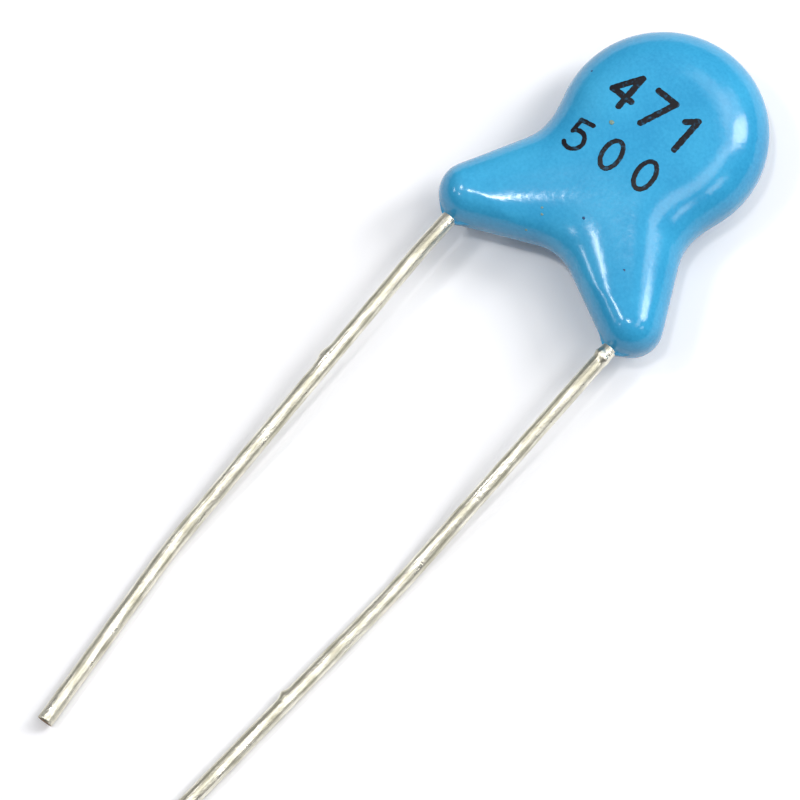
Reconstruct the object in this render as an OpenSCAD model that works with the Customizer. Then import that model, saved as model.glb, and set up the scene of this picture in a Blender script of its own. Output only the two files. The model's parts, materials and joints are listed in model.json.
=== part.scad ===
// Ceramic disc capacitor with two wire leads, dipped in epoxy.
// It lies on its back. The origin is the centre of the disc, on the resting face.
// +Z is the front of the disc, and the leads run along -Y.

/* [Ceramic disc] */
// Diameter of the ceramic disc
chip_d = 6; // [5:0.1:7]
// Thickness of the ceramic disc
chip_t = 0.6; // [0.4:0.05:1]
// Bare rim of ceramic around each electrode
electrode_margin = 0.3; // [0.1:0.05:0.6]
// Thickness of each fired silver electrode
electrode_t = 0.05; // [0.03:0.01:0.1]

/* [Leads] */
// Diameter of the tinned wire
wire_d = 0.6; // [0.5:0.05:0.8]
// Distance between the leads where they leave the coat
lead_pitch = 7.5; // [6.5:0.1:9]
// Length of wire past the disc's centre, under the solder
joint_past = 0.9; // [0.5:0.1:1.2]
// Run of straight wire past the edge of the ceramic disc
rim_run = 0.4; // [0.3:0.05:0.8]
// Bend radius of the wire inside the coat
bend_r = 1; // [0.6:0.1:1.5]
// Bend radius of the loose lead outside the coat
sweep_r = 12; // [6:1:16]
// Straight run from the coat to the first loose bend
exit_run = 1.6; // [1.2:0.1:2.5]
// Run over which the left lead sinks to the table
left_dip = 13.6; // [8:0.1:16]
// Run of the left lead along the table, to its cut end
left_tail = 7.5; // [6:0.1:14]
// Inward shift of the left lead at its second bend
left_bend_in = 0.2; // [0:0.05:0.5]
// Further inward shift of the left lead at its cut end
left_end_in = 0.85; // [0:0.05:1.5]
// Run over which the right lead sinks to the table
right_dip = 9.3; // [8:0.1:16]
// Run of the right lead along the table, to its cut end
right_tail = 12.5; // [6:0.1:14]
// Inward shift of the right lead at its second bend
right_bend_in = 0.25; // [0:0.05:0.5]
// Further inward shift of the right lead at its cut end
right_end_in = 0.55; // [0:0.05:1.5]

/* [Solder] */
// Solder film between the wire and the electrode
solder_film = 0.05; // [0.03:0.01:0.1]
// Thickness of solder around the wire
solder_cover = 0.25; // [0.15:0.05:0.4]
// Length of the soldered joint from the disc's centre towards the lead
solder_run = 1.4; // [0.8:0.1:1.7]

/* [Coating] */
// Epoxy around the edge of the ceramic disc
coat_side = 0.8; // [0.6:0.05:1.2]
// Epoxy over the wire on the front and the back
coat_face = 0.75; // [0.5:0.05:1]
// Width of the rounded edge of the coat, seen from the front
edge_run = 2.4; // [1.4:0.05:2.6]
// Height of the rounded edge on each face
edge_rise = 1.65; // [1:0.05:1.7]
// Drop from the disc's centre at which the coat starts to thin towards the tips
thin_drop = 1.6; // [1.2:0.1:2]
// Drop from the disc's centre to the centre of each leg's tip
leg_drop = 6.1; // [5.6:0.1:7]
// Drop from the disc's centre to the root of the legs
leg_root_drop = 2.5; // [2:0.1:3]
// Radius of the legs at their root
leg_root_r = 2.8; // [2.2:0.1:3.2]
// Epoxy around the wire at the tip of a leg, seen from the front
tip_side = 0.85; // [0.5:0.05:1]
// Epoxy over the wire at the tip of a leg, front and back
tip_face = 1; // [0.7:0.05:1.2]
// Width of the blend between the disc and the legs
leg_blend = 1.1; // [0.5:0.1:1.6]
// Width of the blend in the notch between the legs
notch_blend = 0.75; // [0.4:0.05:1.4]
// Length of the collar that the epoxy leaves on the wire, from the tip's centre
collar_run = 1.25; // [1.2:0.05:1.8]
// Thickness of epoxy around the wire at the end of the collar
collar_cover = 0.15; // [0.1:0.05:0.3]
// Width of the blend between a leg and its collar
collar_blend = 0.3; // [0.2:0.05:0.6]

/* [Hidden] */
$fn = 64;

// Sides of the formed wire's section
wire_sides = 16;
// Steps around each bend of a lead, from the joint to the tail
bend_steps = [3, 6, 4, 4];
// Corners of the formed wire's section, as a share of the wire's radius
formed_share = 0.99;
// Angle between points around the broad arc of the disc
arc_step = 5;
// Angle between points around a leg's tip
tip_step = 1.25;
// Half of the angle around a tip that has the close points
tip_spread = 12;
// Angle between points on the rest of a leg
leg_step = 2.5;
// Angle from a tip up to the end of its leg's points
leg_spread = 45;
// Rings of points between the flat middle and the rim
ring_steps = 14;
// Power by which the rings lie closer towards the rim
ring_power = 2;
// Halvings in the search for a point on the outline
search_steps = 30;
// Points on each side over which the inner rings are evened out
even_points = 6;
// Power by which the rings take up the form of the tips on the way out
tip_power = 6;
// Radius of the flat middle, as a share of the flat part of the disc
flat_share = 0.95;
// Soft change from the flat face to the rounded edge, as a share of the edge's width
soft_share = 0.12;

wire_r = wire_d / 2;
chip_r = chip_d / 2;
electrode_r = chip_r - electrode_margin;
electrode_top = chip_t / 2 + electrode_t;
wire_lift = electrode_top + solder_film + wire_r;
half_t = wire_lift + wire_r + coat_face;
rise = min(edge_rise, half_t);
disc_r = chip_r + coat_side;
tip_r = wire_r + tip_side;
tip_half_t = wire_r + tip_face;
collar_r = wire_r + collar_cover;
collar_drop = leg_drop + collar_run;
solder_r = wire_r + solder_cover;

leg_root = [0, -leg_root_drop];
leg_tip = [lead_pitch / 2, -leg_drop];
collar_end = [lead_pitch / 2, -collar_drop];
collar_centre = collar_end + [0, collar_r];
tip_angle = atan2(collar_end.y, collar_end.x);

// Smooth minimum of two distances, blended over a width k
function smooth_min(a, b, k) =
  let (h = max(k - abs(a - b), 0) / k)
  min(a, b) - h * h * k / 4;

// Distance from p to a taper with round ends, of radius ra at a and rb at b
function taper(p, a, b, ra, rb) =
  let (
    run = norm(b - a),
    along = (b - a) / run,
    u = (p - a) * along,
    v = abs(cross(p - a, along)),
    lean = (ra - rb) / run,
    rise = sqrt(1 - lean * lean),
    k = rise * u - lean * v
  )
  k < 0 ? norm([u, v]) - ra
  : k > rise * run ? norm([u - run, v]) - rb
  : rise * v + lean * u - ra;

// Distance from p to the right-hand leg and to its collar
function leg(p) = taper(p, leg_root, leg_tip, leg_root_r, tip_r);
function collar(p) = taper(p, leg_tip, collar_centre, collar_r, collar_r);

// Distance from p to the outline of the disc and both legs, seen from the front
function body_outline(p) =
  let (
    near = [abs(p.x), p.y],
    far = [-abs(p.x), p.y],
    half = smooth_min(norm(p) - disc_r, leg(near), leg_blend)
  )
  smooth_min(half, leg(far), notch_blend);
// Distance from p to the outline of the whole coat
function outline(p) = smooth_min(body_outline(p), collar([abs(p.x), p.y]), collar_blend);

// Smooth change from 0 above one drop to 1 below another
function ease(y, start, end) =
  let (s = min(max((-y - start) / (end - start), 0), 1))
  s * s * (3 - 2 * s);
// Half thickness of the coat at y, less towards the tips
function local_half(y) = half_t + (tip_half_t - half_t) * ease(y, thin_drop, leg_drop);
// Width of the rounded edge at y, less where a leg is narrower than that
function local_edge(y) =
  let (
    root_share = (y + leg_drop) / (leg_drop - leg_root_drop),
    leg_r = tip_r + (leg_root_r - tip_r) * root_share
  )
  smooth_min(edge_run, max(leg_r, tip_r), leg_blend);
// Share of the half thickness on the rounded edge, where c is 1 at the rim and 0 at the flat face
function edge_share(c) =
  let (s = c * c * (1 + soft_share) / (c + soft_share))
  (half_t - rise + rise * sqrt(max(1 - s * s, 0))) / half_t;

// Radius along one direction at which the outline is met
function reach(along, low, high, steps) =
  let (mid = (low + high) / 2)
  steps == 0 ? mid
  : outline(mid * along) < 0 ? reach(along, mid, high, steps - 1)
  : reach(along, low, mid, steps - 1);

// Height over the middle plane of a point on the disc and the legs
function body_height(p) =
  let (c = min(max(1 + body_outline(p) / local_edge(p.y), 0), 1))
  local_half(p.y) * edge_share(c);
// Height of a point on the collar, which is round about the wire
function collar_height(p) =
  let (off = collar([abs(p.x), p.y]) + collar_r)
  sqrt(max(collar_r * collar_r - off * off, 0));
// Height of a point on the coat's face
function height(p) = -smooth_min(-body_height(p), -collar_height(p), collar_blend);

// Directions of the points around the coat, closer around the tips
right_turns = concat(
  [for (a = [-90 : leg_step : tip_angle - tip_spread - tip_step]) a],
  [for (a = [tip_angle - tip_spread : tip_step : tip_angle + tip_spread]) a],
  [for (a = [tip_angle + tip_spread + leg_step : leg_step : tip_angle + leg_spread]) a],
  [for (a = [tip_angle + leg_spread + arc_step : arc_step : 90 - tip_step]) a]
);
left_turns = [for (i = [len(right_turns) - 1 : -1 : 1]) 180 - right_turns[i]];
turns = concat(right_turns, [90], left_turns);

// Radii of the rim
far_r = 2 * norm(collar_end);
rim_radii = [for (a = turns) reach([cos(a), sin(a)], 0, far_r, search_steps)];
// Radii of the rim, evened out around each tip, which the inner rings follow
even_radii = [
  for (i = [0 : len(turns) - 1])
    let (
      around = [for (k = [-even_points : even_points]) (i + k + len(turns)) % len(turns)],
      near = [for (k = around) rim_radii[k]]
    )
    min(rim_radii[i], near * [for (r = near) 1] / len(near))
];

// Rings of points on the front face, from the flat middle out to the rim
flat_r = min(disc_r - edge_run, thin_drop) * flat_share;
front_rings = [
  for (k = [0 : ring_steps])
    let (w = 1 - pow(1 - k / ring_steps, ring_power))
    [
      for (i = [0 : len(turns) - 1])
        let (
          tip = (rim_radii[i] - even_radii[i]) * pow(w, tip_power),
          r = flat_r + (even_radii[i] + tip - flat_r) * w,
          p = r * [cos(turns[i]), sin(turns[i])]
        )
        [p.x, p.y, height(p)]
    ]
];
back_rings = [
  for (i = [len(front_rings) - 1 : -1 : 0])
    [for (p = front_rings[i]) [p.x, p.y, -p.z]]
];
coat_rings = concat(front_rings, back_rings);

// Path of one lead through its bends: side is -1 for the left lead and 1 for the right
function lead_path(side, face, dip, tail, bend_in, end_in) =
  let (
    tip = [side * lead_pitch / 2, -leg_drop],
    along = tip / norm(tip),
    over = half_t + face * wire_lift,
    start = -joint_past * along,
    rim = (chip_r + rim_run) * along,
    x = side * lead_pitch / 2,
    y = -collar_drop - exit_run
  )
  [
    [start.x, start.y, over],
    [rim.x, rim.y, over],
    [x, -leg_drop, half_t],
    [x, y, half_t],
    [x - side * bend_in, y - dip, wire_r],
    [x - side * (bend_in + end_in), y - dip - tail, wire_r]
  ];
left_path = lead_path(-1, 1, left_dip, left_tail, left_bend_in, left_end_in);
right_path = lead_path(1, -1, right_dip, right_tail, right_bend_in, right_end_in);
bend_radii = [bend_r, bend_r, sweep_r, sweep_r];

function unit(v) = v / norm(v);
function heading(path, i) = unit(path[i + 1] - path[i]);
// Angle of bend i, between stretch i and the next one
function bend_angle(path, i) =
  let (a = heading(path, i), b = heading(path, i + 1))
  atan2(norm(cross(a, b)), a * b);
// Length that bend i takes from the stretch on each side of it
function bend_take(path, i) =
  i < 0 || i >= len(bend_radii) ? 0 : bend_radii[i] * tan(bend_angle(path, i) / 2);
// Direction, square to stretch i, that bend i turns towards
function bend_side(path, i) =
  let (a = heading(path, i), b = heading(path, i + 1))
  unit(b - (a * b) * a);
// Sections of the wire around bend i, each a point and the heading there
function bend_sections(path, i) =
  let (
    a = heading(path, i),
    x = bend_side(path, i),
    r = bend_radii[i],
    start = path[i + 1] - bend_take(path, i) * a
  )
  [
    for (k = [0 : bend_steps[i]])
      let (t = bend_angle(path, i) * k / bend_steps[i])
      [start + r * sin(t) * a + r * (1 - cos(t)) * x, cos(t) * a + sin(t) * x]
  ];
// Point where the straight tail starts, at the end of the last bend
function tail_start(path) =
  let (last = len(bend_radii) - 1)
  path[last + 1] + bend_take(path, last) * heading(path, last + 1);
function wire_sections(path) =
  let (h = heading(path, len(bend_radii)))
  concat(
    [[path[0], heading(path, 0)]],
    [for (i = [0 : len(bend_radii) - 1]) each bend_sections(path, i)],
    [[tail_start(path) + wire_d * h, h]]
  );

// Formed part of a lead: a round section swept through the bends, into the tail
module formed_wire(path) {
  sections = wire_sections(path);
  n = wire_sides;
  last = len(sections) - 1;
  r = wire_r * formed_share;
  points = [
    for (s = sections)
      let (x = unit(cross(s[1], [0, 0, 1])), y = cross(x, s[1]))
      for (k = [0 : n - 1])
        s[0] + r * cos(k * 360 / n) * x + r * sin(k * 360 / n) * y
  ];
  sides = [
    for (j = [0 : last - 1], k = [0 : n - 1])
      let (a = j * n + k, b = j * n + (k + 1) % n)
      each [[a, b, a + n], [b, b + n, a + n]]
  ];
  first_cap = [for (k = [n - 1 : -1 : 0]) k];
  last_cap = [for (k = [0 : n - 1]) last * n + k];
  polyhedron(points = points, faces = concat(sides, [first_cap], [last_cap]));
}

// Straight round tail of a lead, to its cut end
module tail(path) {
  last = len(bend_radii);
  h = heading(path, last);
  start = tail_start(path) + wire_r * h;
  translate(start)
    rotate([0, 90, atan2(h.y, h.x)])
      cylinder(h = norm(path[last + 1] - start), r = wire_r);
}

module lead(path) {
  formed_wire(path);
  tail(path);
}

// Bead of solder along the wire, with round ends, before the wire is taken out
module solder_bead(path) {
  along = heading(path, 0);
  translate([0, 0, path[0].z])
    rotate([0, 90, atan2(along.y, along.x)]) {
      translate([0, 0, -joint_past])
        sphere(r = solder_r);
      translate([0, 0, -joint_past])
        cylinder(h = joint_past + solder_run, r = solder_r);
      translate([0, 0, solder_run])
        sphere(r = solder_r);
    }
}

// Solder on one face of the disc: face is 1 for the front and -1 for the back
module solder(path, face) {
  difference() {
    solder_bead(path);
    formed_wire(path);
    translate([0, 0, half_t + (face > 0 ? 0 : -electrode_top)])
      cylinder(h = electrode_top, r = chip_r);
  }
}

module electrode(face) {
  translate([0, 0, half_t + (face > 0 ? chip_t / 2 : -electrode_top)])
    cylinder(h = electrode_t, r = electrode_r);
}

module chip() {
  translate([0, 0, half_t - chip_t / 2])
    cylinder(h = chip_t, r = chip_r);
}

// Outer form of the coat, with flat middles on the front and the back
module coat_form() {
  n = len(turns);
  last = len(coat_rings) - 1;
  points = [for (r = coat_rings) each r];
  // Each side is split along its shorter diagonal
  sides = [
    for (j = [0 : last - 1], i = [0 : n - 1])
      let (
        a = j * n + i,
        b = j * n + (i + 1) % n,
        a_shorter = norm(points[b + n] - points[a]) < norm(points[a + n] - points[b])
      )
      each a_shorter ? [[a, b, b + n], [a, b + n, a + n]] : [[a, b, a + n], [b, b + n, a + n]]
  ];
  front = [for (i = [n - 1 : -1 : 0]) i];
  back = [for (i = [0 : n - 1]) last * n + i];
  translate([0, 0, half_t])
    polyhedron(points = points, faces = concat(sides, [front], [back]));
}

module coating() {
  color("#3aace4")
    difference() {
      coat_form();
      chip();
      electrode(1);
      electrode(-1);
      solder_bead(left_path);
      solder_bead(right_path);
      formed_wire(left_path);
      formed_wire(right_path);
    }
}

module left_lead() {
  color("#cfcbb8")
    lead(left_path);
}

module right_lead() {
  color("#cfcbb8")
    lead(right_path);
}

module ceramic_disc() {
  color("#d8c8a8")
    chip();
}

module front_electrode() {
  color("#e2e2de")
    electrode(1);
}

module rear_electrode() {
  color("#e2e2de")
    electrode(-1);
}

module front_solder() {
  color("#b4b6b8")
    solder(left_path, 1);
}

module rear_solder() {
  color("#b4b6b8")
    solder(right_path, -1);
}

coating();
left_lead();
right_lead();
ceramic_disc();
front_electrode();
rear_electrode();
front_solder();
rear_solder();
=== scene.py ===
"""Looks of a dipped ceramic disc capacitor that lies on a table, built around its CAD frame."""

import json
import math

import bmesh
import bpy
import numpy as np
from mathutils import Euler, Matrix, Vector, noise
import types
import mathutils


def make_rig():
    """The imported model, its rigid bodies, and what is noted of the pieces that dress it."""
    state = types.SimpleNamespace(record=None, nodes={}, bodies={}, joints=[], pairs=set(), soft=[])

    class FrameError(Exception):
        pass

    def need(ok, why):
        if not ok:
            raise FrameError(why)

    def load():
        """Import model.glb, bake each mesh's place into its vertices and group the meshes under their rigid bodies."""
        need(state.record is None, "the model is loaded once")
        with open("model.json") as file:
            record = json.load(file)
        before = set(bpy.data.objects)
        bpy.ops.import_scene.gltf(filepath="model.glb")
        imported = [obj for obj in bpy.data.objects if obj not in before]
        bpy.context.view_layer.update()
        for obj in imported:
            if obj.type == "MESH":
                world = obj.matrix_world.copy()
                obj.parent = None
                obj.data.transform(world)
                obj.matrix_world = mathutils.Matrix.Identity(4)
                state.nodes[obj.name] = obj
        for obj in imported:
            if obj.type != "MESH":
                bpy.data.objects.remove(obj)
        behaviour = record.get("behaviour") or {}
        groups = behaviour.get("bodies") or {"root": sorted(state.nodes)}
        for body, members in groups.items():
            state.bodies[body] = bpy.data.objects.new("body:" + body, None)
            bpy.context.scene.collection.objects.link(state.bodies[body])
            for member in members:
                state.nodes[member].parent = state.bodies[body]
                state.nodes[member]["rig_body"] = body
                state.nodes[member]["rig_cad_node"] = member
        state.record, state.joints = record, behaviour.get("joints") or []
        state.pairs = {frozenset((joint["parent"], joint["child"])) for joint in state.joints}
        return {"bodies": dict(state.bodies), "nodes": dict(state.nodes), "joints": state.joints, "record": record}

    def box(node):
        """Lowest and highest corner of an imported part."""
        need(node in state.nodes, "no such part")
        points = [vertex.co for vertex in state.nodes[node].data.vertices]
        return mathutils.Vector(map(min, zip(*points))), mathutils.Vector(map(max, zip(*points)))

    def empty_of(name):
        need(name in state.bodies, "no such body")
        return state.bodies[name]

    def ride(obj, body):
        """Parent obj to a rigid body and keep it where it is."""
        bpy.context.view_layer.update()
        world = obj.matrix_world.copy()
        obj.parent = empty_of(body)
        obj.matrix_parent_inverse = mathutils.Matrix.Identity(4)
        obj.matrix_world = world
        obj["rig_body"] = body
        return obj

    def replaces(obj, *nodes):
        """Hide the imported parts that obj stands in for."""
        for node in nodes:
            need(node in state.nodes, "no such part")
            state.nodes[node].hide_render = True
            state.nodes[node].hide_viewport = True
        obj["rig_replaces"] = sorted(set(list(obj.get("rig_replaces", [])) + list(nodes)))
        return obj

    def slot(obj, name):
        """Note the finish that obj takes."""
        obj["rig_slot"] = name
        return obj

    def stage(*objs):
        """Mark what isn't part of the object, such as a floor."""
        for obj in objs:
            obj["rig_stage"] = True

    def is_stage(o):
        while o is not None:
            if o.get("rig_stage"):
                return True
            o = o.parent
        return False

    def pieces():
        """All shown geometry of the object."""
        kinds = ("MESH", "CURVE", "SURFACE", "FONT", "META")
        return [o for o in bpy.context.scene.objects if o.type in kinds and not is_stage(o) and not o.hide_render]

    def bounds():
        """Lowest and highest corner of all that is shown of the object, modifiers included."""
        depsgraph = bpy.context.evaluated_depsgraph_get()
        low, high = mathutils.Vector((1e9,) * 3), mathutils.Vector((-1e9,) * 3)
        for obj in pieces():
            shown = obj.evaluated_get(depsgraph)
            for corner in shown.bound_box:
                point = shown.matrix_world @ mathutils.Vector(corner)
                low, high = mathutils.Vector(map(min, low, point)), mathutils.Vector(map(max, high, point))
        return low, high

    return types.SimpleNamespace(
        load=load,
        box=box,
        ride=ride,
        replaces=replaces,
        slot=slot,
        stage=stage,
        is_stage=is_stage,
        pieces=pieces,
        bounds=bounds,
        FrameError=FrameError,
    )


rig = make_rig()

bl_info = {
    "name": "Ceramic disc capacitor",
    "version": (1, 0, 0),
    "blender": (4, 5, 0),
    "location": "View3D > Sidebar > Capacitor",
    "description": "Builds the looks of a dipped disc capacitor around its CAD frame",
    "category": "Object",
}

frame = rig.load()
CAD_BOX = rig.bounds()
COAT_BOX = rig.box("coating")
MM = 0.001
BODY = "root"


def linear(code):
    """Linear colour of an sRGB hex value."""
    parts = [int(code[i:i + 2], 16) / 255 for i in (1, 3, 5)]
    return [c / 12.92 if c <= 0.04045 else ((c + 0.055) / 1.055) ** 2.4 for c in parts]


def length(name, description, default):
    """A size in metres, shown in the scene's length unit."""
    return bpy.props.FloatProperty(
        name=name, description=description, default=default, unit="LENGTH", precision=5
    )


def colour(name, description, code):
    """A colour with an sRGB hex value as its default."""
    return bpy.props.FloatVectorProperty(
        name=name, description=description, default=linear(code), subtype="COLOR", min=0, max=1
    )


class CoatSettings(bpy.types.PropertyGroup):
    """Sizes and colours of the epoxy coat."""

    disc_r: length("Disc radius", "Radius of the coated disc", 3.8 * MM)
    thickness: length("Thickness", "Thickness of the coated disc", COAT_BOX[1].z)
    edge_run: length("Edge run", "Width of the rounded edge of the disc, seen from the front", 2.4 * MM)
    edge_rise: length("Edge rise", "Height of the rounded edge on each face", 1.65 * MM)
    pitch: length("Lead pitch", "Distance between the leads where they leave the coat", 7.5 * MM)
    leg_drop: length("Leg drop", "Drop from the disc's centre to the centre of a leg's tip", 6.1 * MM)
    root_drop: length("Root drop", "Drop from the disc's centre to the root of the legs", 2.5 * MM)
    root_r: length("Root radius", "Radius of the legs at their root", 2.8 * MM)
    taper_drop: length("Taper drop", "Drop at which the coat starts to thin towards the tips", 1.6 * MM)
    tip_r: length("Tip radius", "Radius of a leg's tip, seen from the front", 1.15 * MM)
    tip_half: length("Tip half thickness", "Half of the thickness of a leg's tip", 1.3 * MM)
    collar_r: length("Collar radius", "Radius of the collar of epoxy on the wire", 0.45 * MM)
    collar_run: length("Collar run", "Length of the collar from the tip's centre", 1.25 * MM)
    leg_blend: length("Leg blend", "Width of the blend between the disc and the legs", 1.1 * MM)
    notch_blend: length("Notch blend", "Width of the blend in the notch between the legs", 0.75 * MM)
    collar_blend: length("Collar blend", "Width of the blend between a leg and its collar", 0.3 * MM)
    blue: colour("Blue", "Main colour of the pigmented epoxy", "#3fabd9")
    deep_blue: colour("Deep blue", "Colour where the pigment lies thicker", "#2e97c8")


class LeadSettings(bpy.types.PropertyGroup):
    """Sizes and colours of the tinned wire."""

    wire_r: length("Wire radius", "Radius of the tinned wire", 0.3 * MM)
    nodule: length("Nodule height", "Height of the tin nodules on the wire", 0.1 * MM)
    bright: colour("Bright tin", "Colour of the clean tin", "#f6f2e2")
    dull: colour("Dull tin", "Colour of the dulled tin between the draw marks", "#c3bfab")


class MarkingSettings(bpy.types.PropertyGroup):
    """Sizes and colour of the printed value."""

    tall: length("Upper row height", "Height of the digits in the upper row", 1.34 * MM)
    small: length("Lower row height", "Height of the digits in the lower row", 1.12 * MM)
    ink: colour("Ink", "Colour of the marking ink", "#17161c")


class StageSettings(bpy.types.PropertyGroup):
    """Floor and light."""

    floor: colour("Floor", "Colour of the table", "#f7f7f9")
    bounce: colour("Bounce", "Colour of the light that the table throws back at the object", "#b4b8c0")
    fill: bpy.props.FloatProperty(
        name="Fill", description="Strength of the darkest side of the sky", default=0.12
    )
    sky: bpy.props.FloatProperty(
        name="Sky", description="Strength that the brightest side of the sky adds", default=0.3
    )


class CapacitorSettings(bpy.types.PropertyGroup):
    """All settings of the capacitor."""

    coat: bpy.props.PointerProperty(type=CoatSettings)
    leads: bpy.props.PointerProperty(type=LeadSettings)
    marking: bpy.props.PointerProperty(type=MarkingSettings)
    stage: bpy.props.PointerProperty(type=StageSettings)


# Sockets of a Mix node that mixes two colours
MIX_FACTOR, MIX_A, MIX_B, MIX_RESULT = 0, 6, 7, 2


def add_node(tree, kind, settings=(), inputs=()):
    """Adds a shader node. An input is a plain value, or a socket that is linked to it."""
    made = tree.nodes.new(kind)
    for name, value in dict(settings).items():
        setattr(made, name, value)
    for name, value in dict(inputs).items():
        if isinstance(value, bpy.types.NodeSocket):
            tree.links.new(value, made.inputs[name])
        else:
            made.inputs[name].default_value = value
    return made


def new_material(name):
    """A material without nodes yet, and its node tree."""
    material = bpy.data.materials.new(name)
    material.use_nodes = True
    material.node_tree.nodes.clear()
    return material, material.node_tree


def rgba(value):
    """A colour with full alpha, for a socket."""
    return (*value, 1.0)


def grain(size):
    """Scale of a texture in object metres whose features are this many millimetres wide."""
    return 1 / (size * MM)


def new_mesh(name, points, faces):
    """A smooth mesh object in the CAD frame, from points in millimetres."""
    mesh = bpy.data.meshes.new(name)
    mesh.from_pydata((np.asarray(points) * MM).tolist(), [], faces)
    mesh.polygons.foreach_set("use_smooth", [True] * len(mesh.polygons))
    mesh.update()
    piece = bpy.data.objects.new(name, mesh)
    bpy.context.scene.collection.objects.link(piece)
    return piece


# Share of the rounded edge over which it runs out into the flat face
EDGE_SOFT_SHARE = 0.12
# Halvings of the search for the rim along a direction
SEARCH_STEPS = 48


class CoatForm:
    """Form of the coat in millimetres, from the same distances as the CAD source."""

    def __init__(self, s):
        self.disc_r = s.disc_r / MM
        self.half = s.thickness / MM / 2
        self.edge_run = s.edge_run / MM
        self.edge_rise = min(s.edge_rise / MM, self.half)
        self.taper_drop = s.taper_drop / MM
        self.tip_r = s.tip_r / MM
        self.tip_half = s.tip_half / MM
        self.collar_r = s.collar_r / MM
        self.tip = (s.pitch / MM / 2, -s.leg_drop / MM)
        self.collar = (self.tip[0], self.tip[1] - s.collar_run / MM + self.collar_r)
        self.end_r = math.hypot(self.tip[0], self.collar[1] - self.collar_r)
        self.root = (0.0, -s.root_drop / MM)
        self.root_r = s.root_r / MM
        self.leg_blend = s.leg_blend / MM
        self.notch_blend = s.notch_blend / MM
        self.collar_blend = s.collar_blend / MM

    @staticmethod
    def smooth_min(a, b, width):
        """The lesser of two distances, blended where they differ by less than the width."""
        h = np.maximum(width - np.abs(a - b), 0) / width
        return np.minimum(a, b) - h * h * width / 4

    @staticmethod
    def taper(x, y, a, b, ra, rb):
        """Distance to a taper with round ends, of radius ra at a and rb at b."""
        run = math.dist(a, b)
        dx, dy = (b[0] - a[0]) / run, (b[1] - a[1]) / run
        u = (x - a[0]) * dx + (y - a[1]) * dy
        v = np.abs((x - a[0]) * dy - (y - a[1]) * dx)
        lean = (ra - rb) / run
        rise = math.sqrt(1 - lean * lean)
        k = rise * u - lean * v
        side = rise * v + lean * u - ra
        beyond = np.where(k > rise * run, np.hypot(u - run, v) - rb, side)
        return np.where(k < 0, np.hypot(u, v) - ra, beyond)

    def leg(self, x, y):
        """Distance to the right-hand leg."""
        return self.taper(x, y, self.root, self.tip, self.root_r, self.tip_r)

    def collar_outline(self, x, y):
        """Distance to the collars on the wires."""
        return self.taper(np.abs(x), y, self.tip, self.collar, self.collar_r, self.collar_r)

    def body_outline(self, x, y):
        """Distance to the outline of the disc and the legs, less than 0 inside."""
        near, far = self.leg(np.abs(x), y), self.leg(-np.abs(x), y)
        half = self.smooth_min(np.hypot(x, y) - self.disc_r, near, self.leg_blend)
        return self.smooth_min(half, far, self.notch_blend)

    def outline(self, x, y):
        """Distance to the outline of the whole coat."""
        return self.smooth_min(self.body_outline(x, y), self.collar_outline(x, y), self.collar_blend)

    @staticmethod
    def ease(y, start, end):
        """0 above the drop start, 1 below the drop end, with a smooth change between them."""
        s = np.clip((-y - start) / (end - start), 0, 1)
        return s * s * (3 - 2 * s)

    def local_half(self, y):
        """Half thickness, less towards the tips."""
        return self.half + (self.tip_half - self.half) * self.ease(y, self.taper_drop, -self.tip[1])

    def local_edge(self, y):
        """Width of the rounded edge, less where a leg is narrower than that."""
        share = (y - self.tip[1]) / (self.root[1] - self.tip[1])
        leg = np.maximum(self.tip_r + (self.root_r - self.tip_r) * share, self.tip_r)
        return self.smooth_min(self.edge_run, leg, self.leg_blend)

    def body_height(self, x, y):
        """Height of the disc and the legs over the middle plane."""
        # c is 1 at the rim and 0 on the flat face
        c = np.clip(1 + self.body_outline(x, y) / self.local_edge(y), 0, 1)
        softened = c * c * (1 + EDGE_SOFT_SHARE) / (c + EDGE_SOFT_SHARE)
        rise = self.edge_rise * np.sqrt(np.maximum(1 - softened ** 2, 0))
        return self.local_half(y) * (self.half - self.edge_rise + rise) / self.half

    def height(self, x, y):
        """Height of the face over the middle plane."""
        off = self.collar_outline(x, y) + self.collar_r
        collar = np.sqrt(np.maximum(self.collar_r ** 2 - off ** 2, 0))
        return -self.smooth_min(-self.body_height(x, y), -collar, self.collar_blend)

    def front(self, x, y):
        """Height of the front face over the table."""
        return self.half + self.height(x, y)

    def reach(self, angles):
        """Radius of the outline along each direction."""
        low, high = np.zeros_like(angles), np.full_like(angles, 2 * self.end_r)
        for _ in range(SEARCH_STEPS):
            mid = (low + high) / 2
            inside = self.outline(mid * np.cos(angles), mid * np.sin(angles)) < 0
            low, high = np.where(inside, mid, low), np.where(inside, high, mid)
        return (low + high) / 2


# Steps of the coat's mesh round the disc in degrees, and how far from a tip the fine ones reach
WIDE_STEP = 1.5
FINE_STEP = 0.5
FINE_REACH = 20
# Spread in degrees over which the inner rings even out the rim, and how late they reach the true one
EVEN_SPREAD = 7
TRUE_RIM_POWER = 6
# Points from the centre to the rim on each face
RADIAL_POINTS = 60


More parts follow.
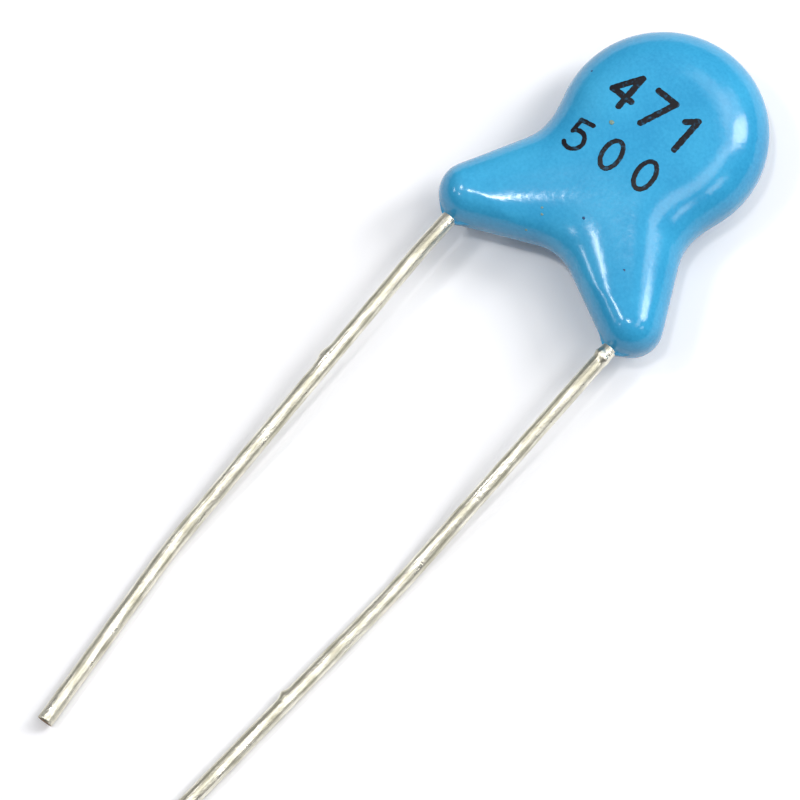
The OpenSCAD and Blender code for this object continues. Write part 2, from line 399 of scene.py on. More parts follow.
def coat_mesh(form):
    """Points and faces of the coat: a centre, rings out to the rim, and the same on the back."""
    tip = math.degrees(math.atan2(form.collar[1] - form.collar_r, form.tip[0]))
    near, past = tip - FINE_REACH, tip + FINE_REACH
    right = np.concatenate([
        np.arange(-90, near, WIDE_STEP),
        np.arange(near, past, FINE_STEP),
        np.arange(past, 90, WIDE_STEP),
    ])
    angles = np.radians(np.concatenate([right, [90], 180 - right[:0:-1]]))
    rim = form.reach(angles)
    # The inner rings follow a rim that is evened out around the tips, so that no ring jumps there
    apart = np.angle(np.exp(1j * (angles[:, None] - angles[None, :])))
    nearness = np.exp(-(apart / math.radians(EVEN_SPREAD)) ** 2)
    weight = nearness * np.gradient(np.unwrap(angles))[None, :]
    even = np.minimum(rim, (weight * rim).sum(1) / weight.sum(1))
    rings = []
    for t in np.linspace(0, 1, RADIAL_POINTS)[1:]:
        w = 1 - (1 - t) ** 2
        r = w * (even + (rim - even) * w ** TRUE_RIM_POWER)
        x, y = r * np.cos(angles), r * np.sin(angles)
        rings.append(np.stack([x, y, form.height(x, y)], 1))
    rings += [ring * [1, 1, -1] for ring in rings[::-1]]
    n = len(angles)
    points = np.concatenate([*rings, [[0, 0, form.half], [0, 0, -form.half]]]) + [0, 0, form.half]
    faces, last = [], (len(rings) - 1) * n
    # Each side is split along its shorter diagonal
    for j in range(len(rings) - 1):
        a, c = j * n + np.arange(n), (j + 1) * n + np.arange(n)
        b, d = np.roll(a, -1), np.roll(c, -1)
        one, other = points[d] - points[a], points[c] - points[b]
        first = np.linalg.norm(one, axis=1) < np.linalg.norm(other, axis=1)
        faces += np.stack([a, c, np.where(first, d, b)], 1).tolist()
        faces += np.stack([np.where(first, a, c), d, b], 1).tolist()
    for i in range(n):
        k = (i + 1) % n
        faces.append((i, k, len(points) - 2))
        faces.append((last + k, last + i, len(points) - 1))
    return points, faces


def epoxy_material(s):
    """Pigmented epoxy, dipped and cured. The eye sees an even blue under a wet gloss, with a soft
    orange peel and a faint grain of pigment."""
    material, tree = new_material("dipped_epoxy")
    place = add_node(tree, "ShaderNodeTexCoord").outputs["Object"]
    cloud = add_node(tree, "ShaderNodeTexNoise", inputs={
        "Vector": place, "Scale": grain(2.5), "Detail": 3
    })
    # The real pigment is finer than the picture shows, so its grain is drawn coarser
    pigment = add_node(tree, "ShaderNodeTexNoise", inputs={
        "Vector": place, "Scale": grain(0.12), "Detail": 2
    })
    blend = add_node(tree, "ShaderNodeMath", {"operation": "MULTIPLY_ADD"}, {
        0: pigment.outputs["Fac"], 1: 0.6, 2: cloud.outputs["Fac"]
    })
    ramp = add_node(tree, "ShaderNodeMapRange", inputs={
        "Value": blend.outputs[0], "From Min": 0.55, "From Max": 1.05
    })
    tint = add_node(tree, "ShaderNodeMix", {"data_type": "RGBA"}, {
        MIX_FACTOR: ramp.outputs[0], MIX_A: rgba(s.deep_blue), MIX_B: rgba(s.blue)
    })
    peel = add_node(tree, "ShaderNodeTexNoise", inputs={
        "Vector": place, "Scale": grain(0.3), "Detail": 3
    })
    bump = add_node(tree, "ShaderNodeBump", inputs={
        "Height": peel.outputs["Fac"], "Strength": 0.42, "Distance": 0.016 * MM
    })
    gloss = add_node(tree, "ShaderNodeMapRange", inputs={
        "Value": cloud.outputs["Fac"], "To Min": 0.13, "To Max": 0.22
    })
    shader = add_node(tree, "ShaderNodeBsdfPrincipled", inputs={
        "Base Color": tint.outputs[MIX_RESULT], "Roughness": gloss.outputs[0], "IOR": 1.5,
        "Normal": bump.outputs[0],
    })
    add_node(tree, "ShaderNodeOutputMaterial", inputs={"Surface": shader.outputs[0]})
    return material


class CAPACITOR_OT_coat(bpy.types.Operator):
    """Builds the epoxy coat over the ceramic disc and the ends of the leads."""

    bl_idname = "capacitor.coat"
    bl_label = "Epoxy coat"

    def execute(self, context):
        s = context.scene.capacitor.coat
        piece = new_mesh("epoxy_coat", *coat_mesh(CoatForm(s)))
        piece.data.materials.append(epoxy_material(s))
        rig.ride(piece, BODY)
        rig.replaces(piece, "coating")
        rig.slot(piece, "epoxy_coating")
        return {"FINISHED"}


# Corners of each lead's path from the solder to the cut end, and the bend radius at each inner one,
# in millimetres
LEAD_PATHS = {
    "left_lead": [
        (0.471, 0.767, 2.45), (-1.781, -2.897, 2.45), (-3.75, -6.1, 1.75),
        (-3.75, -8.95, 1.75), (-3.55, -22.55, 0.3), (-2.70, -30.05, 0.3),
    ],
    "right_lead": [
        (-0.471, 0.767, 1.05), (1.781, -2.897, 1.05), (3.75, -6.1, 1.75),
        (3.75, -8.95, 1.75), (3.5, -18.25, 0.3), (2.95, -30.75, 0.3),
    ],
}
BEND_RADII = (1, 1, 12, 12)
# Nodules of tin on each lead: place along Y and width in millimetres, and angle from the left side
# in degrees
NODULES = {
    "left_lead": [(-13.87, 0.3, 10)],
    "right_lead": [(-7.62, 0.12, 60), (-7.72, 0.1, 130), (-23.87, 0.13, 15)],
}
# Spread of a nodule round the wire in degrees
NODULE_SPREAD = 45
# Mesh of a lead: distance of its rings in millimetres, points on each bend, and sides of the wire
LEAD_STEP = 0.08
BEND_POINTS = 24
WIRE_SIDES = 32
# Shallow waves in the tin: depth in millimetres, how many to a millimetre along the wire, and how many
# to a radian round it
TIN_WAVE = 0.006
WAVES_ALONG = 0.9
WAVES_ROUND = 0.8
# Cut end: radius of the face inside its burr as a share of the wire's, and how far the face and its
# centre sink in millimetres
CUT_SHARE = 0.86
CUT_SINK = 0.03
CUT_CENTRE_SINK = 0.05


def lead_line(corners):
    """Even points along a lead, with an arc at each bend, and their distances from its start."""
    corners = [np.array(c, float) for c in corners]
    line = [corners[0]]
    for i, radius in enumerate(BEND_RADII):
        a, b = corners[i + 1] - corners[i], corners[i + 2] - corners[i + 1]
        a, b = a / np.linalg.norm(a), b / np.linalg.norm(b)
        angle = math.atan2(np.linalg.norm(np.cross(a, b)), a @ b)
        side = b - (a @ b) * a
        side /= np.linalg.norm(side)
        start = corners[i + 1] - radius * math.tan(angle / 2) * a
        for t in np.linspace(0, angle, BEND_POINTS):
            line.append(start + radius * math.sin(t) * a + radius * (1 - math.cos(t)) * side)
    line.append(corners[-1])
    line = np.array(line)
    along = np.concatenate([[0], np.cumsum(np.linalg.norm(np.diff(line, axis=0), axis=1))])
    at = np.linspace(0, along[-1], int(along[-1] / LEAD_STEP) + 1)
    return np.stack([np.interp(at, along, line[:, k]) for k in range(3)], 1), at


def lead_mesh(name, s):
    """A lead as a tube along its line, with its nodules, a sheared end and a UV map in metres."""
    line, at = lead_line(LEAD_PATHS[name])
    radius, sides = s.wire_r / MM, WIRE_SIDES
    heading = np.gradient(line, axis=0)
    heading /= np.linalg.norm(heading, axis=1)[:, None]
    x = np.cross(heading, [0, 0, 1])
    x /= np.linalg.norm(x, axis=1)[:, None]
    y = np.cross(x, heading)
    # The seam of the UV map runs along the underside
    turn = np.radians(np.arange(sides) * 360 / sides - 90)
    r = np.full((len(line), sides), radius)
    for j in range(len(line)):
        for k in range(sides):
            across, over = math.cos(turn[k]) * WAVES_ROUND, math.sin(turn[k]) * WAVES_ROUND
            spot = Vector((at[j] * WAVES_ALONG, across, over))
            r[j, k] -= TIN_WAVE * (1 + noise.noise(spot))
    for place, width, angle in NODULES[name]:
        off = np.degrees(np.angle(np.exp(1j * (turn - math.radians(angle)))))
        lengthwise = np.exp(-((line[:, 1] - place) / width) ** 2)
        swell = lengthwise[:, None] * np.exp(-(off / NODULE_SPREAD) ** 2)[None, :]
        r += s.nodule / MM * swell
    cosine, sine = np.cos(turn)[None, :, None], np.sin(turn)[None, :, None]
    ring = r[:, :, None] * (cosine * x[:, None, :] + sine * y[:, None, :])
    points = (line[:, None, :] + ring).reshape(-1, 3)
    faces = []
    for j in range(len(line) - 1):
        for k in range(sides):
            m = (k + 1) % sides
            faces.append((j * sides + k, j * sides + m, (j + 1) * sides + m, (j + 1) * sides + k))
    side_faces = len(faces)
    # A narrow burr stands around the cut face, which sinks a little towards its centre
    last = (len(line) - 1) * sides
    inner = len(points)
    cap = line[-1] + CUT_SHARE * ring[-1] - CUT_SINK * heading[-1]
    points = np.concatenate([points, cap, [line[-1] - CUT_CENTRE_SINK * heading[-1], line[0]]])
    for k in range(sides):
        m = (k + 1) % sides
        faces.append((last + k, last + m, inner + m, inner + k))
        faces.append((inner + k, inner + m, len(points) - 2))
        faces.append((m, k, len(points) - 1))
    piece = new_mesh(name + "_wire", points, faces)
    uv = piece.data.uv_layers.new(name="wire")
    for face in piece.data.polygons[:side_faces]:
        j, k = divmod(face.index, sides)
        for loop, (dj, dk) in zip(face.loop_indices, ((0, 0), (0, 1), (1, 1), (1, 0))):
            uv.data[loop].uv = (at[j + dj] * MM, (k + dk) / sides * 2 * math.pi * s.wire_r)
    for face in piece.data.polygons[side_faces:]:
        face.material_index = 1
    return piece


def tin_material(s):
    """Copper wire, drawn and hot-dipped in tin. The eye sees a warm bright metal with fine draw marks
    along it, dull patches and small pits."""
    material, tree = new_material("tinned_copper_wire")
    place = add_node(tree, "ShaderNodeUVMap", {"uv_map": "wire"}).outputs[0]
    # Real draw marks and pits are finer than the picture shows, so both are drawn coarser
    drawn = add_node(tree, "ShaderNodeMapping", inputs={
        "Vector": place, "Scale": (grain(3), grain(0.07), 1)
    })
    marks = add_node(tree, "ShaderNodeTexNoise", inputs={
        "Vector": drawn.outputs[0], "Scale": 1, "Detail": 4
    })
    patchy = add_node(tree, "ShaderNodeMapping", inputs={
        "Vector": place, "Scale": (grain(1.1), grain(0.35), 1)
    })
    patches = add_node(tree, "ShaderNodeTexNoise", inputs={
        "Vector": patchy.outputs[0], "Scale": 1, "Detail": 3
    })
    pits = add_node(tree, "ShaderNodeTexNoise", inputs={
        "Vector": place, "Scale": grain(0.13), "Detail": 2
    })
    both = add_node(tree, "ShaderNodeMath", {"operation": "MULTIPLY_ADD"}, {
        0: marks.outputs["Fac"], 1: 0.6, 2: patches.outputs["Fac"]
    })
    worn = add_node(tree, "ShaderNodeMapRange", inputs={
        "Value": both.outputs[0], "From Min": 0.65, "From Max": 0.95
    })
    tint = add_node(tree, "ShaderNodeMix", {"data_type": "RGBA"}, {
        MIX_FACTOR: worn.outputs[0], MIX_A: rgba(s.dull), MIX_B: rgba(s.bright)
    })
    rough = add_node(tree, "ShaderNodeMapRange", inputs={
        "Value": patches.outputs["Fac"], "From Min": 0.3, "From Max": 0.7,
        "To Min": 0.44, "To Max": 0.24,
    })
    relief = add_node(tree, "ShaderNodeMath", {"operation": "MULTIPLY_ADD"}, {
        0: pits.outputs["Fac"], 1: 0.9, 2: marks.outputs["Fac"]
    })
    bump = add_node(tree, "ShaderNodeBump", inputs={
        "Height": relief.outputs[0], "Strength": 0.9, "Distance": 0.022 * MM
    })
    shader = add_node(tree, "ShaderNodeBsdfPrincipled", inputs={
        "Base Color": tint.outputs[MIX_RESULT], "Metallic": 1, "Roughness": rough.outputs[0],
        "Normal": bump.outputs[0],
    })
    add_node(tree, "ShaderNodeOutputMaterial", inputs={"Surface": shader.outputs[0]})
    return material


def cut_material():
    """Copper that the cutter sheared, under the tin. The eye sees a matt, brownish, torn face."""
    material, tree = new_material("sheared_copper")
    place = add_node(tree, "ShaderNodeTexCoord").outputs["Object"]
    # Real tears are finer than the picture shows, so they are drawn coarser
    tear = add_node(tree, "ShaderNodeTexNoise", inputs={
        "Vector": place, "Scale": grain(0.1), "Detail": 3
    })
    tint = add_node(tree, "ShaderNodeMix", {"data_type": "RGBA"}, {
        MIX_FACTOR: tear.outputs["Fac"],
        MIX_A: rgba(linear("#7d6654")), MIX_B: rgba(linear("#c2a184")),
    })
    bump = add_node(tree, "ShaderNodeBump", inputs={
        "Height": tear.outputs["Fac"], "Strength": 0.6, "Distance": 0.02 * MM
    })
    shader = add_node(tree, "ShaderNodeBsdfPrincipled", inputs={
        "Base Color": tint.outputs[MIX_RESULT], "Metallic": 1, "Roughness": 0.5,
        "Normal": bump.outputs[0],
    })
    add_node(tree, "ShaderNodeOutputMaterial", inputs={"Surface": shader.outputs[0]})
    return material


class CAPACITOR_OT_leads(bpy.types.Operator):
    """Builds the two tinned leads along their CAD paths."""

    bl_idname = "capacitor.leads"
    bl_label = "Tinned leads"

    def execute(self, context):
        s = context.scene.capacitor.leads
        tin, cut = tin_material(s), cut_material()
        for name in LEAD_PATHS:
            piece = lead_mesh(name, s)
            piece.data.materials.append(tin)
            piece.data.materials.append(cut)
            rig.ride(piece, BODY)
            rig.replaces(piece, name)
            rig.slot(piece, "tinned_wire")
        return {"FINISHED"}


def arc(centre, rx, ry, start, end, steps=28):
    """Points on part of an ellipse, with angles in degrees."""
    turns = np.radians(np.linspace(start, end, steps))
    return [(centre[0] + rx * math.cos(t), centre[1] + ry * math.sin(t)) for t in turns]


# Strokes of plain digits in a box of height 1
DIGITS = {
    "0": [arc((0.31, 0.5), 0.29, 0.5, 0, 360, 48)],
    "1": [[(0.1, 0.78), (0.36, 1), (0.36, 0)]],
    "4": [[(0.46, 0), (0.46, 1), (0, 0.3), (0.64, 0.3)]],
    "5": [[(0.55, 1), (0.1, 1), (0.06, 0.56)] + arc((0.27, 0.32), 0.33, 0.33, 130, -142)],
    "7": [[(0, 1), (0.6, 1), (0.2, 0)]],
}
# Rows of the printed value: digits, centres of the first and the last one, and half of the stroke's
# width, in millimetres
ROWS = (
    ("471", (-1.69, 0.02), (0.99, 0.05), 0.115),
    ("500", (-1.9, -2.35), (0.9, -2.0), 0.085),
)
# Centre of a digit in its box, and half of the square that its mesh is cut from, both in heights
DIGIT_CENTRE = (0.31, 0.5)
DIGIT_REACH = 0.65
# Ink in millimetres: cell of its mesh, height over the coat, depth of the underside, swing of the
# ragged edge and the step that probes it, and waves of that edge in each millimetre
INK_CELL = 0.022
INK_HEIGHT = 0.01
INK_DEPTH = 0.03
INK_RAGGED = 0.018
INK_PROBE = 0.004
INK_WAVES = 9
# How often a border point moves towards the edge, and the least squared slope that a move is divided by
EDGE_MOVES = 2
LEAST_SLOPE = 0.2


def stroke_distance(x, y, strokes):
    """Distance from points to the nearest stroke."""
    best = np.full_like(x, np.inf)
    for stroke in strokes:
        for (ax, ay), (bx, by) in zip(stroke[:-1], stroke[1:]):
            dx, dy = bx - ax, by - ay
            t = np.clip(((x - ax) * dx + (y - ay) * dy) / (dx * dx + dy * dy), 0, 1)
            best = np.minimum(best, np.hypot(x - ax - t * dx, y - ay - t * dy))
    return best


def digit_film(digit, centre, tilt, height, half_stroke, form):
    """A thin film of ink in the form of one digit, laid on the front of the coat."""
    middle = np.array(DIGIT_CENTRE)
    strokes = [((np.array(stroke) - middle) * height).tolist() for stroke in DIGITS[digit]]

    def edge(x, y):
        """Distance to the ragged edge of the ink, less than 0 inside."""
        ragged = np.array([
            noise.noise(Vector((a * INK_WAVES + centre[0], b * INK_WAVES + centre[1], 0)))
            for a, b in zip(x.ravel(), y.ravel())
        ])
        return stroke_distance(x, y, strokes) - half_stroke + INK_RAGGED * ragged.reshape(x.shape)

    ticks = np.arange(-DIGIT_REACH * height, DIGIT_REACH * height, INK_CELL)
    x, y = np.meshgrid(ticks, ticks, indexing="ij")
    d = edge(x, y)
    keep = (d[:-1, :-1] + d[1:, :-1] + d[:-1, 1:] + d[1:, 1:]) < 0
    # Points on the border of the kept cells move onto the edge of the stroke
    count = np.zeros_like(x)
    for a, b in ((0, 0), (1, 0), (0, 1), (1, 1)):
        count[a:len(ticks) - 1 + a, b:len(ticks) - 1 + b] += keep
    border = (count > 0) & (count < 4)
    for _ in range(EDGE_MOVES):
        here = edge(x, y)
        gx = (edge(x + INK_PROBE, y) - edge(x - INK_PROBE, y)) / (2 * INK_PROBE)
        gy = (edge(x, y + INK_PROBE) - edge(x, y - INK_PROBE)) / (2 * INK_PROBE)
        size = np.maximum(gx * gx + gy * gy, LEAST_SLOPE)
        x = np.where(border, x - here * gx / size, x)
        y = np.where(border, y - here * gy / size, y)
    c, s = math.cos(tilt), math.sin(tilt)
    px, py = centre[0] + c * x - s * y, centre[1] + s * x + c * y
    index = -np.ones(x.shape, int)
    index[count > 0] = np.arange(int((count > 0).sum()))
    points = np.stack([px, py, form.front(px, py) + INK_HEIGHT], -1)[count > 0]
    faces = [
        (index[i, j], index[i + 1, j], index[i + 1, j + 1], index[i, j + 1])
        for i, j in zip(*np.nonzero(keep))
    ]
    return points, faces


def ink_material(s, coat):
    """Marking ink, stamped and cured. The eye sees a half-matt black with thin places where the blue
    shows through."""
    material, tree = new_material("stamped_marking_ink")
    place = add_node(tree, "ShaderNodeTexCoord").outputs["Object"]
    starve = add_node(tree, "ShaderNodeTexNoise", inputs={
        "Vector": place, "Scale": grain(0.16), "Detail": 3
    })
    thin = add_node(tree, "ShaderNodeMapRange", inputs={
        "Value": starve.outputs["Fac"], "From Min": 0.55, "From Max": 0.8, "To Max": 0.35
    })
    tint = add_node(tree, "ShaderNodeMix", {"data_type": "RGBA"}, {
        MIX_FACTOR: thin.outputs[0], MIX_A: rgba(s.ink), MIX_B: rgba(coat.deep_blue)
    })
    shader = add_node(tree, "ShaderNodeBsdfPrincipled", inputs={
        "Base Color": tint.outputs[MIX_RESULT], "Roughness": 0.38, "Specular IOR Level": 0.25
    })
    add_node(tree, "ShaderNodeOutputMaterial", inputs={"Surface": shader.outputs[0]})
    return material


class CAPACITOR_OT_marking(bpy.types.Operator):
    """Lays two rows of plain digits in ink on the front of the coat."""

    bl_idname = "capacitor.marking"
    bl_label = "Printed value"

    def execute(self, context):
        s, coat = context.scene.capacitor.marking, context.scene.capacitor.coat
        form = CoatForm(coat)
        points, faces = [], []
        for (digits, first, last, half_stroke), height in zip(ROWS, (s.tall / MM, s.small / MM)):
            tilt = math.atan2(last[1] - first[1], last[0] - first[0])
            for i, digit in enumerate(digits):
                w = i / (len(digits) - 1)
                centre = (first[0] + (last[0] - first[0]) * w, first[1] + (last[1] - first[1]) * w)
                film, cells = digit_film(digit, centre, tilt, height, half_stroke, form)
                faces += [tuple(int(v) + len(points) for v in f) for f in cells]
                points += film.tolist()
        piece = new_mesh("marking_ink", points, faces)
        # The film's underside lies in the coat, so that the film is closed and no gap shows under it
        body = bmesh.new()
        body.from_mesh(piece.data)
        made = bmesh.ops.extrude_face_region(body, geom=body.faces[:], use_keep_orig=True)["geom"]
        for v in made:
            if isinstance(v, bmesh.types.BMVert):
                v.co.z -= INK_DEPTH * MM
        bmesh.ops.recalc_face_normals(body, faces=body.faces[:])
        body.to_mesh(piece.data)
        body.free()
        piece.data.materials.append(ink_material(s, coat))
        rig.ride(piece, BODY)
        return {"FINISHED"}


# Specks of dust in the coat: place on the front and half of the length in millimetres, and the dust
SPECKS = (
    (-1.28, -1.27, 0.1, "pale_dust"),
    (0.21, -4.51, 0.06, "dark_dust"),
    (2.54, -5.04, 0.045, "dark_dust"),
    (-3.2, -0.12, 0.05, "dark_dust"),
    (-1.19, -5.14, 0.045, "pale_dust"),
    (-1.05, -5.31, 0.05, "pale_dust"),
    (-1.21, -6.0, 0.05, "pale_dust"),
)
# Breadth and height of a grain as shares of its length
GRAIN_SHARES = (0.8, 0.3)
# Lumps of a grain: how far they swing, how many there are to its radius, and the shift by its place
# that gives each grain a form of its own
LUMP_SWING = 0.35
LUMP_WAVES = 1.3
LUMP_SHIFT = 7
# Step in millimetres over which the slope of the coat under a grain is taken
SLOPE_STEP = 0.02


def dust_material(name, dark, light):
    """Dust that stuck in the wet epoxy. The eye sees small dull grains."""
    material, tree = new_material(name)
    place = add_node(tree, "ShaderNodeTexCoord").outputs["Object"]
    # Real grit is finer than the picture shows, so it is drawn coarser
    grit = add_node(tree, "ShaderNodeTexNoise", inputs={
        "Vector": place, "Scale": grain(0.05), "Detail": 2
    })
    tint = add_node(tree, "ShaderNodeMix", {"data_type": "RGBA"}, {
        MIX_FACTOR: grit.outputs["Fac"], MIX_A: rgba(linear(dark)), MIX_B: rgba(linear(light))
    })
    shader = add_node(tree, "ShaderNodeBsdfPrincipled", inputs={
        "Base Color": tint.outputs[MIX_RESULT], "Roughness": 0.45, "IOR": 1.5
    })
    add_node(tree, "ShaderNodeOutputMaterial", inputs={"Surface": shader.outputs[0]})
    return material


class CAPACITOR_OT_specks(bpy.types.Operator):
    """Sets the specks of dust into the coat."""

    bl_idname = "capacitor.specks"
    bl_label = "Dust specks"

    def execute(self, context):
        form = CoatForm(context.scene.capacitor.coat)
        dusts = {
            "pale_dust": dust_material("pale_dust", "#64806f", "#8aa59a"),
            "dark_dust": dust_material("dark_dust", "#1d3f63", "#27598a"),
        }
        for kind, material in dusts.items():
            grains = bmesh.new()
            for x, y, size, dust in SPECKS:
                if dust != kind:
                    continue
                xs, ys = np.array([x, x + SLOPE_STEP, x]), np.array([y, y, y + SLOPE_STEP])
                z, along_x, along_y = (float(h) for h in form.front(xs, ys))
                slope_x, slope_y = (along_x - z) / SLOPE_STEP, (along_y - z) / SLOPE_STEP
                turn = Vector((0, 0, 1)).rotation_difference(Vector((-slope_x, -slope_y, 1)))
                place = Matrix.Translation(Vector((x, y, z)) * MM) @ turn.to_matrix().to_4x4()
                made = bmesh.ops.create_icosphere(grains, subdivisions=3, radius=1)["verts"]
                breadth, height = GRAIN_SHARES
                for v in made:
                    spot = v.co * LUMP_WAVES + Vector((x, y, 0)) * LUMP_SHIFT
                    lump = 1 + LUMP_SWING * noise.noise(spot)
                    grown = Vector((v.co.x * size, v.co.y * size * breadth, v.co.z * size * height))
                    v.co = place @ (grown * lump * MM)
            mesh = bpy.data.meshes.new(kind)
            grains.to_mesh(mesh)
            grains.free()
            mesh.polygons.foreach_set("use_smooth", [True] * len(mesh.polygons))
            mesh.materials.append(material)
            piece = bpy.data.objects.new(kind, mesh)
            context.scene.collection.objects.link(piece)
            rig.ride(piece, BODY)
        return {"FINISHED"}


def inner_material(name, dark, light, size, metallic, roughness):
    """A fired or molten material inside the coat. The eye sees a fine grain and two close tones."""
    material, tree = new_material(name)
    place = add_node(tree, "ShaderNodeTexCoord").outputs["Object"]
    # Real crystals are finer than a picture shows, so the grain is drawn coarser
    speckle = add_node(tree, "ShaderNodeTexNoise", inputs={
        "Vector": place, "Scale": grain(size), "Detail": 4
    })
    tint = add_node(tree, "ShaderNodeMix", {"data_type": "RGBA"}, {
        MIX_FACTOR: speckle.outputs["Fac"], MIX_A: rgba(linear(dark)), MIX_B: rgba(linear(light))
    })
    bump = add_node(tree, "ShaderNodeBump", inputs={
        "Height": speckle.outputs["Fac"], "Strength": 0.4, "Distance": 0.01 * MM
    })
    shader = add_node(tree, "ShaderNodeBsdfPrincipled", inputs={
        "Base Color": tint.outputs[MIX_RESULT], "Metallic": metallic, "Roughness": roughness,
        "Normal": bump.outputs[0],
    })
    add_node(tree, "ShaderNodeOutputMaterial", inputs={"Surface": shader.outputs[0]})
    return material


class CAPACITOR_OT_inner(bpy.types.Operator):
    """Gives the ceramic disc, its electrodes and the solder their materials."""

    bl_idname = "capacitor.inner"
    bl_label = "Disc, electrodes and solder"

    def execute(self, context):
        # Pressed and sintered: a matt, sandy body
        ceramic = inner_material("barium_titanate_ceramic", "#cdb892", "#e0cfae", 0.08, 0, 0.6)
        # Printed as a paste and fired: a pale, satin metal
        silver = inner_material("fired_silver", "#cfcfca", "#ecebe6", 0.15, 1, 0.45)
        # Set from the melt: a greyer, smoother metal
        solder = inner_material("tin_solder", "#a8aaac", "#cdcfd0", 0.4, 1, 0.28)
        for name, material in (
            ("ceramic_disc", ceramic), ("front_electrode", silver), ("rear_electrode", silver),
            ("front_solder", solder), ("rear_solder", solder),
        ):
            mesh = frame["nodes"][name].data
            mesh.materials.clear()
            mesh.materials.append(material)
        return {"FINISHED"}


# Camera that stands where the photograph's camera stood: angles in degrees, distances in metres, and
# lens and sensor in millimetres
CAMERA = {
    "azimuth": 53.068, "elevation": 73.703, "roll": -12.102, "distance": 0.15,
    "lens": 191.902, "sensor": 36, "clip_start": 0.01, "clip_end": 10,
}
CAMERA_AIM = (-0.634 * MM, -13.461 * MM, 1.75 * MM)
# Half of the table's width in millimetres
TABLE_HALF = 900
# Middle of the coat, which the soft boxes face
LIT_SPOT = Vector((0, -4 * MM, 1.75 * MM))
# Soft boxes: place to the right, up the picture and over the table and size, in millimetres, and power
# in watts
SOFT_BOXES = (
    ("right_box", 184, 52, 153, (74, 100), 0.26),
    ("right_veil", 150, 78, 180, (150, 130), 0.12),
    ("wide_box", 106, -48, 217, (150, 64), 0.1),
    ("low_right_box", 155, -115, 152, (70, 44), 0.04),
    ("glow_box", 80, 112, 204, (110, 80), 0.044),
    ("left_box", -118, 16, 216, (34, 26), 0.072),
    ("notch_box", -156, -71, 178, (24, 20), 0.021),
    ("low_left_box", -210, -3, 128, (40, 24), 0.037),
    ("front_box", -30, -18, 244, (26, 12), 0.096),
)
# Right and up in the photograph, laid on the table
RIGHT = Vector((0.757, 0.653, 0))
UP = Vector((-0.653, 0.757, 0))
# Direction of the brightest side of the sky
BRIGHT_SIDE = (-0.45 * RIGHT + 0.5 * UP + Vector((0, 0, 0.79))).normalized()


def floor_material(s):
    """A pale matt table top. The eye and mirroring metal see it white, with the object's shadow on it,
    and it throws less light back at the object."""
    material, tree = new_material("pale_table")
    path = add_node(tree, "ShaderNodeLightPath")
    mirrored = add_node(tree, "ShaderNodeMath", {"operation": "MAXIMUM"}, {
        0: path.outputs["Is Glossy Ray"], 1: path.outputs["Is Transmission Ray"]
    })
    seen = add_node(tree, "ShaderNodeMath", {"operation": "MAXIMUM"}, {
        0: path.outputs["Is Camera Ray"], 1: mirrored.outputs[0]
    })
    tint = add_node(tree, "ShaderNodeMix", {"data_type": "RGBA"}, {
        MIX_FACTOR: seen.outputs[0], MIX_A: rgba(s.bounce), MIX_B: rgba(s.floor)
    })
    matt = add_node(tree, "ShaderNodeBsdfDiffuse", inputs={"Color": tint.outputs[MIX_RESULT]})
    add_node(tree, "ShaderNodeOutputMaterial", inputs={"Surface": matt.outputs[0]})
    return material


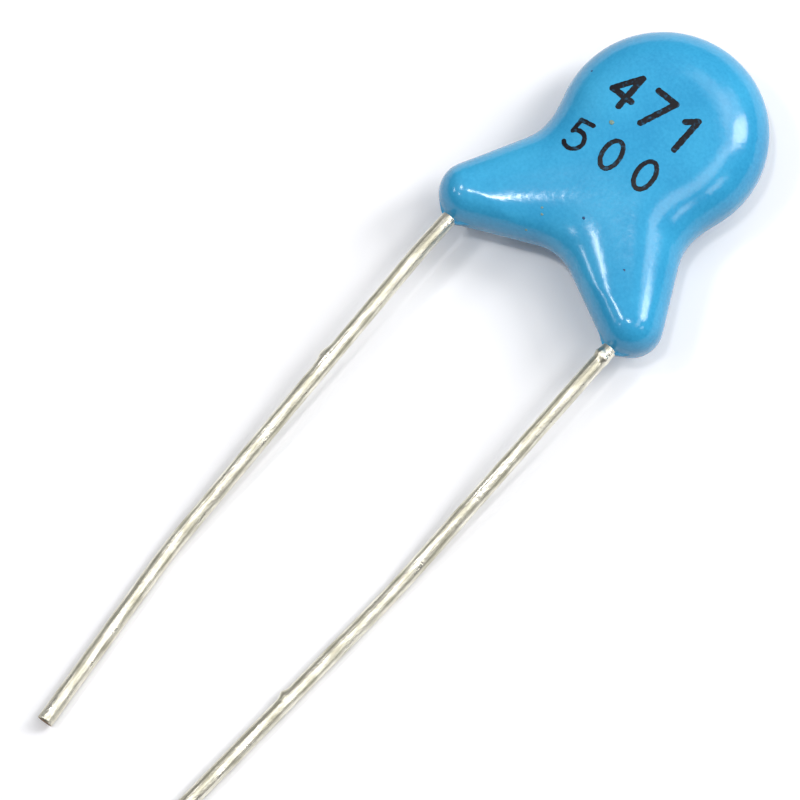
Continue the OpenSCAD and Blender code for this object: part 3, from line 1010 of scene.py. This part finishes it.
class CAPACITOR_OT_stage(bpy.types.Operator):
    """Sets the table, the soft light and the camera."""

    bl_idname = "capacitor.stage"
    bl_label = "Stage"

    def soft_box(self, name, side, up, height, size, power):
        """A soft box that faces the coat, placed by the photograph's directions in millimetres."""
        light = bpy.data.lights.new(name, "AREA")
        light.shape = "RECTANGLE"
        light.size, light.size_y = size[0] * MM, size[1] * MM
        light.energy = power
        lamp = bpy.data.objects.new(name, light)
        lamp.location = (RIGHT * side + UP * up + Vector((0, 0, height))) * MM
        aim = LIT_SPOT - lamp.location
        lamp.rotation_mode = "QUATERNION"
        lamp.rotation_quaternion = aim.to_track_quat("-Z", "Y")
        bpy.context.scene.collection.objects.link(lamp)

    def execute(self, context):
        s = context.scene.capacitor.stage
        corners = [(x * TABLE_HALF, y * TABLE_HALF, 0) for x, y in ((-1, -1), (1, -1), (1, 1), (-1, 1))]
        floor = new_mesh("table", corners, [(0, 1, 2, 3)])
        floor.data.materials.append(floor_material(s))
        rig.stage(floor)

        for box in SOFT_BOXES:
            self.soft_box(*box)

        world = bpy.data.worlds.new("studio")
        world.use_nodes = True
        tree = world.node_tree
        tree.nodes.clear()
        aim = add_node(tree, "ShaderNodeTexCoord").outputs["Generated"]
        side = add_node(tree, "ShaderNodeVectorMath", {"operation": "DOT_PRODUCT"}, {
            0: aim, 1: BRIGHT_SIDE
        })
        bright = add_node(tree, "ShaderNodeMapRange", {"interpolation_type": "SMOOTHSTEP"}, {
            "Value": side.outputs["Value"], "From Min": -0.2, "From Max": 0.95, "To Max": s.sky
        })
        height = add_node(tree, "ShaderNodeSeparateXYZ", inputs={0: aim})
        high = add_node(tree, "ShaderNodeMapRange", {"interpolation_type": "SMOOTHSTEP"}, {
            "Value": height.outputs["Z"], "From Min": 0.25, "From Max": 0.7
        })
        sky = add_node(tree, "ShaderNodeMath", {"operation": "MULTIPLY_ADD"}, {
            0: bright.outputs[0], 1: high.outputs[0], 2: s.fill
        })
        light = add_node(tree, "ShaderNodeBackground", inputs={
            "Color": rgba(linear("#f6f7fb")), "Strength": sky.outputs[0]
        })
        add_node(tree, "ShaderNodeOutputWorld", inputs={"Surface": light.outputs[0]})
        context.scene.world = world
        context.scene.view_settings.view_transform = "Standard"

        lens = bpy.data.cameras.new("camera")
        lens.lens, lens.sensor_width = CAMERA["lens"], CAMERA["sensor"]
        lens.clip_start, lens.clip_end = CAMERA["clip_start"], CAMERA["clip_end"]
        camera = bpy.data.objects.new("camera", lens)
        azimuth, elevation, roll = (math.radians(CAMERA[k]) for k in ("azimuth", "elevation", "roll"))
        turn = Euler((math.pi / 2 - elevation, 0, azimuth)).to_matrix() @ Matrix.Rotation(roll, 3, "Z")
        camera.rotation_mode = "QUATERNION"
        camera.rotation_quaternion = turn.to_quaternion()
        camera.location = Vector(CAMERA_AIM) + turn @ Vector((0, 0, CAMERA["distance"]))
        context.scene.collection.objects.link(camera)
        context.scene.camera = camera
        return {"FINISHED"}


class CAPACITOR_PT_panel(bpy.types.Panel):
    """Lists the pieces and their settings."""

    bl_idname = "CAPACITOR_PT_panel"
    bl_label = "Ceramic disc capacitor"
    bl_space_type = "VIEW_3D"
    bl_region_type = "UI"
    bl_category = "Capacitor"

    def draw(self, context):
        settings = context.scene.capacitor
        for operator, group in (
            (CAPACITOR_OT_coat, settings.coat), (CAPACITOR_OT_specks, None),
            (CAPACITOR_OT_marking, settings.marking), (CAPACITOR_OT_leads, settings.leads),
            (CAPACITOR_OT_inner, None), (CAPACITOR_OT_stage, settings.stage),
        ):
            box = self.layout.box()
            box.operator(operator.bl_idname)
            for name in group.bl_rna.properties.keys() if group else ():
                if name not in ("rna_type", "name"):
                    box.prop(group, name)


CLASSES = (
    CoatSettings, LeadSettings, MarkingSettings, StageSettings, CapacitorSettings,
    CAPACITOR_OT_coat, CAPACITOR_OT_leads, CAPACITOR_OT_marking, CAPACITOR_OT_specks,
    CAPACITOR_OT_inner, CAPACITOR_OT_stage, CAPACITOR_PT_panel,
)


def register():
    for cls in CLASSES:
        bpy.utils.register_class(cls)
    bpy.types.Scene.capacitor = bpy.props.PointerProperty(type=CapacitorSettings)


def unregister():
    del bpy.types.Scene.capacitor
    for cls in reversed(CLASSES):
        bpy.utils.unregister_class(cls)


def main():
    register()
    bpy.ops.capacitor.coat()
    bpy.ops.capacitor.leads()
    bpy.ops.capacitor.marking()
    bpy.ops.capacitor.specks()
    bpy.ops.capacitor.inner()
    bpy.ops.capacitor.stage()
    sizes = {"cad": [list(c) for c in CAD_BOX], "visual": [list(c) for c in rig.bounds()]}
    with open("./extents.json", "w") as out:
        json.dump(sizes, out)


if __name__ == "__main__":
    main()
